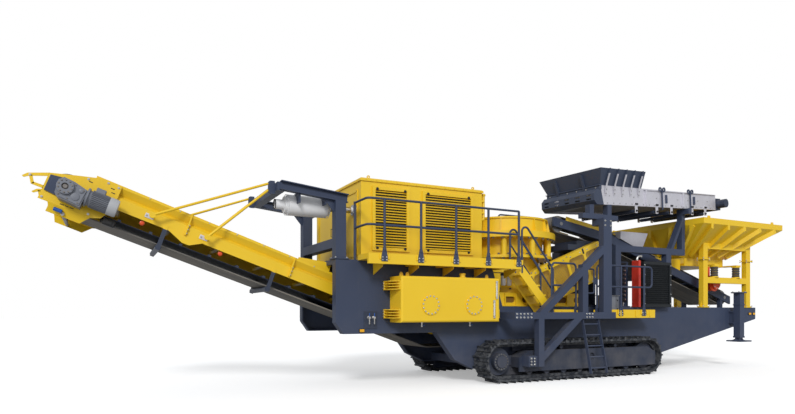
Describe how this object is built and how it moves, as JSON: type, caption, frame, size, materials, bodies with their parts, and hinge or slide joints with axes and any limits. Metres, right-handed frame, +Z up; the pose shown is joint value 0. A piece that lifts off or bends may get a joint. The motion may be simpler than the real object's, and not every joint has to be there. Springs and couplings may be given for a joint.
{
  "type": "tracked cone crusher plant",
  "caption": "Mobile cone crushing plant on crawler tracks with feed hopper, overhead return conveyor, power pack with walkways and a long discharge conveyor.",
  "frame": {"origin": "on the ground under the middle of the whole machine", "axes": "+X runs from the discharge conveyor to the feed hopper, +Y from the walkway side to the far side, +Z up"},
  "size_m": [17.3314, 3.664, 4.6521],
  "materials": {
    "yellow_paint": "satin machine yellow",
    "slate_paint": "satin dark slate",
    "charcoal_paint": "satin charcoal",
    "track_steel": "dark steel with dust",
    "white_paint": "white heat paint",
    "black_rubber": "matt rubber",
    "grey_steel": "bare steel",
    "grey_paint": "satin grey",
    "cast_steel": "cast steel",
    "galvanised": "galvanised sheet",
    "black_paint": "black",
    "red_paint": "gloss red",
    "orange_paint": "satin orange red"
  },
  "bodies": {
    "plant": {"chassis_girder_near": "slate_paint", "chassis_girder_far": "slate_paint", "chassis_cross_members": "slate_paint", "power_deck": "slate_paint", "track_chain_near": "track_steel", "track_chain_far": "track_steel", "track_frame_near": "charcoal_paint", "track_frame_far": "charcoal_paint", "track_wheels_near": "charcoal_paint", "track_wheels_far": "charcoal_paint", "engine_housing": "yellow_paint", "housing_roof": "yellow_paint", "louvre_panels": "yellow_paint", "upper_walkway": "yellow_paint", "upper_walkway_rail": "slate_paint", "service_tank": "yellow_paint", "gantry": "slate_paint", "stay_rods": "yellow_paint", "exhaust_silencer": "white_paint", "discharge_side_frames": "yellow_paint", "discharge_head_cheeks": "yellow_paint", "discharge_belt": "black_rubber", "discharge_drums": "grey_steel", "discharge_gearmotor": "grey_paint", "crusher_subframe": "yellow_paint", "crusher_main_frame": "yellow_paint", "crusher_bowl": "yellow_paint", "crusher_mantle": "cast_steel", "drive_belt_guard": "yellow_paint", "drive_motor": "charcoal_paint", "lower_walkway": "yellow_paint", "lower_walkway_rails": "slate_paint", "boarding_ladder": "slate_paint", "access_stair": "yellow_paint", "stair_rails": "slate_paint", "return_support_frame": "slate_paint", "portal_frame": "slate_paint", "return_side_panels": "galvanised", "return_boot": "charcoal_paint", "return_tail_guard": "charcoal_paint", "return_belt": "black_rubber", "return_drums": "grey_steel", "return_drive": "charcoal_paint", "feed_side_frames": "slate_paint", "feed_belt": "black_rubber", "feed_drums": "grey_steel", "feed_skirts": "yellow_paint", "feed_chute": "galvanised", "oil_cooler": "black_paint", "cooler_cowl": "red_paint", "feed_hopper": "yellow_paint", "hopper_frame": "yellow_paint", "vibrating_feeder": "slate_paint", "feeder_exciter": "orange_paint", "jack_sleeves": "slate_paint", "far_platform": "yellow_paint", "far_platform_rail": "slate_paint"},
    "ladder_gate": {"ladder_gate": "slate_paint"},
    "jack_leg_near": {"jack_leg_near": "slate_paint"},
    "jack_leg_far": {"jack_leg_far": "slate_paint"}
  },
  "joints": [
    {"name": "ladder_gate_hinge", "type": "hinge", "parent": "plant", "child": "ladder_gate", "pos_m": [1.95069, -1.41895, 2.1], "axis": [0, 0, -1], "range_deg": [0, 90], "stiffness_Nm_per_rad": 6, "springref_deg": -17.19},
    {"name": "jack_near_slide", "type": "slide", "parent": "plant", "child": "jack_leg_near", "axis": [0, 0, -1], "range_m": [0, 0.65]},
    {"name": "jack_far_slide", "type": "slide", "parent": "plant", "child": "jack_leg_far", "axis": [0, 0, -1], "range_m": [0, 0.65]}
  ]
}
